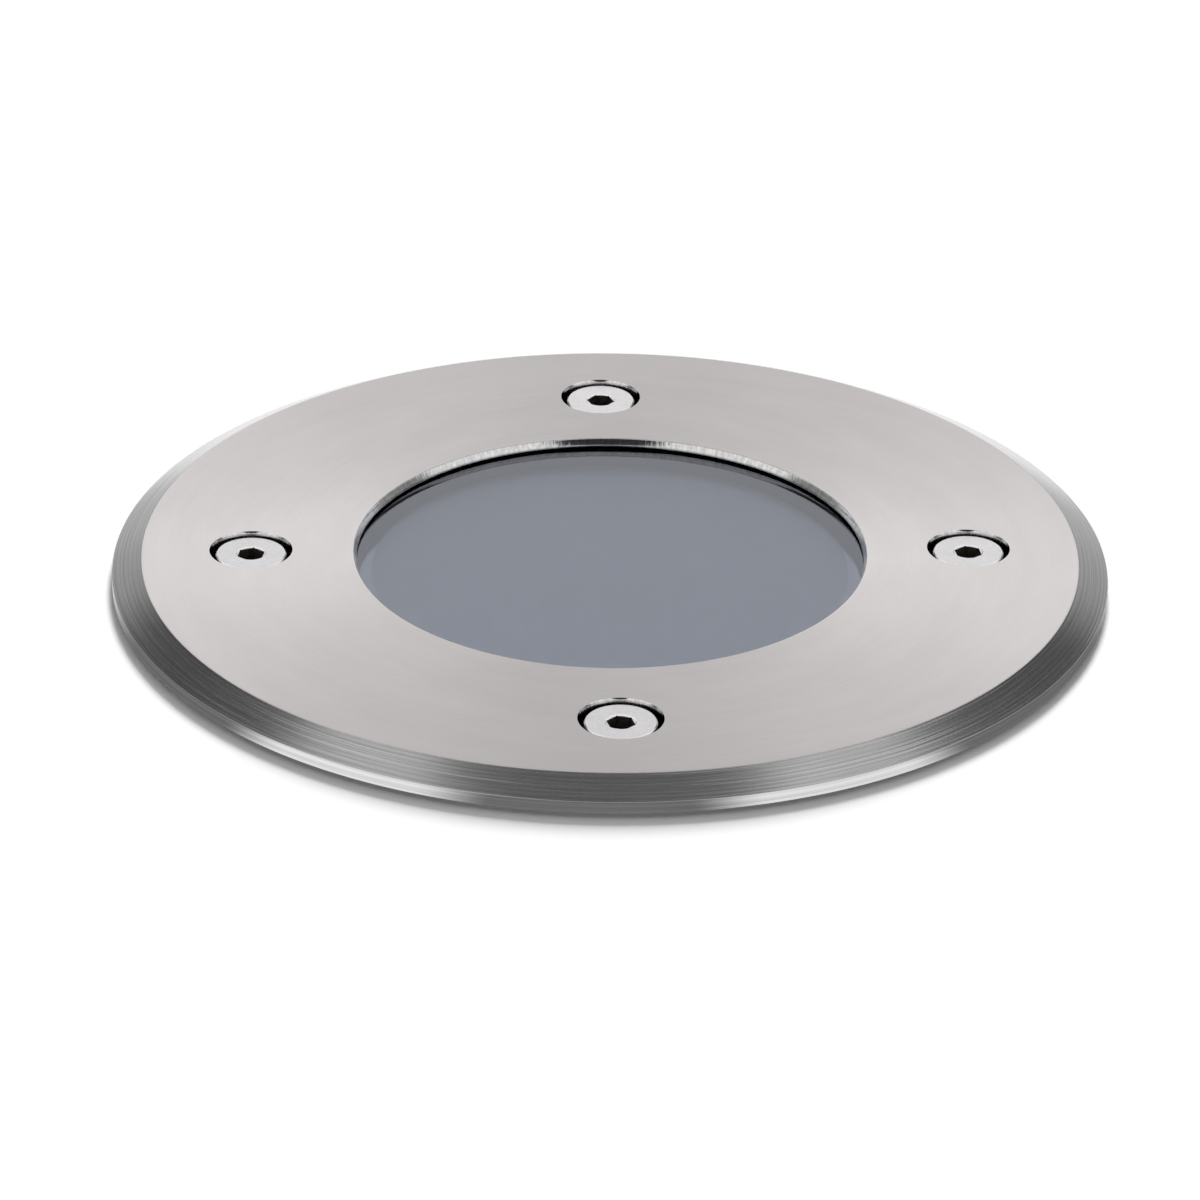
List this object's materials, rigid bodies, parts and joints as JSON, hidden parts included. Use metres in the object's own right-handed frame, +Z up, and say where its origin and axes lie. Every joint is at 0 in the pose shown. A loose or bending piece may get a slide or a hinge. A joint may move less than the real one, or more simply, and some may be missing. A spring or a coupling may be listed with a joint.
{
  "type": "in ground well light",
  "caption": "Round recessed ground light: bevelled steel face ring with socket screws over a glass window, finned pot with tilting lamp, in a ribbed ground sleeve.",
  "frame": {"origin": "on the light's axis at finished ground level, where the face ring's lip lies on the ground", "axes": "+Z up along the light's axis, +X towards the cable gland's side and the right-hand cover screw, -Y towards the viewer of the picture"},
  "size_m": [0.12, 0.12, 0.1333],
  "materials": {
    "ring_steel": "brushed",
    "screw_steel": "satin",
    "window_glass": "polished",
    "seal_rubber": "matte",
    "cast_housing": "powder coated, fine texture",
    "sleeve_plastic": "moulded, fine texture",
    "entry_metal": "nickel plated",
    "terminal_plastic": "moulded",
    "terminal_brass": "plain",
    "carrier_steel": "zinc plated",
    "cradle_black": "black anodised",
    "reflector_mirror": "faceted, mirror coated inside",
    "lamp_glass": "clear",
    "ceramic": "fired ceramic"
  },
  "bodies": {
    "housing": {"cooling_fins": "cast_housing", "entry_plug": "entry_metal", "flange_gasket": "seal_rubber", "gland_body": "entry_metal", "gland_cap": "entry_metal", "gland_locknut": "entry_metal", "gland_seal": "seal_rubber", "gland_washer": "seal_rubber", "ground_sleeve": "sleeve_plastic", "housing_flange": "cast_housing", "housing_pot": "cast_housing", "plug_locknut": "entry_metal", "plug_washer": "seal_rubber", "pot_base": "cast_housing", "sleeve_screws": "screw_steel", "terminal_block": "terminal_plastic", "terminal_fixing": "screw_steel", "terminal_screws": "terminal_brass", "turntable_clip": "carrier_steel"},
    "cover": {"face_ring": "ring_steel", "window_glass": "window_glass", "glass_seal": "seal_rubber"},
    "turntable": {"turntable": "carrier_steel"},
    "cradle": {"lamp_cradle": "cradle_black", "tilt_pins": "carrier_steel", "glare_louvre": "cradle_black", "lamp_clip": "carrier_steel", "lamp_reflector": "reflector_mirror", "lamp_lens": "lamp_glass", "lamp_capsule": "lamp_glass", "lamp_base": "ceramic", "lamp_pins": "carrier_steel", "lamp_holder": "ceramic", "holder_contacts": "terminal_brass"},
    "right_screw": {"screw_right": "screw_steel"},
    "back_screw": {"screw_back": "screw_steel"},
    "left_screw": {"screw_left": "screw_steel"},
    "front_screw": {"screw_front": "screw_steel"}
  },
  "joints": [
    {"name": "cover_lift", "type": "slide", "parent": "housing", "child": "cover", "axis": [0, 0, 1], "range_m": [0, 0.04]},
    {"name": "lamp_pan", "type": "hinge", "parent": "housing", "child": "turntable", "pos_m": [0, 0, -0.028], "axis": [0, 0, 1], "range_deg": [-175, 175]},
    {"name": "lamp_tilt", "type": "hinge", "parent": "turntable", "child": "cradle", "pos_m": [0, 0, -0.02], "axis": [1, 0, 0], "range_deg": [-15, 15]},
    {"name": "screw_right_out", "type": "slide", "parent": "cover", "child": "right_screw", "axis": [0, 0, 1], "range_m": [0, 0.0125]},
    {"name": "screw_back_out", "type": "slide", "parent": "cover", "child": "back_screw", "axis": [0, 0, 1], "range_m": [0, 0.0125]},
    {"name": "screw_left_out", "type": "slide", "parent": "cover", "child": "left_screw", "axis": [0, 0, 1], "range_m": [0, 0.0125]},
    {"name": "screw_front_out", "type": "slide", "parent": "cover", "child": "front_screw", "axis": [0, 0, 1], "range_m": [0, 0.0125]}
  ]
}
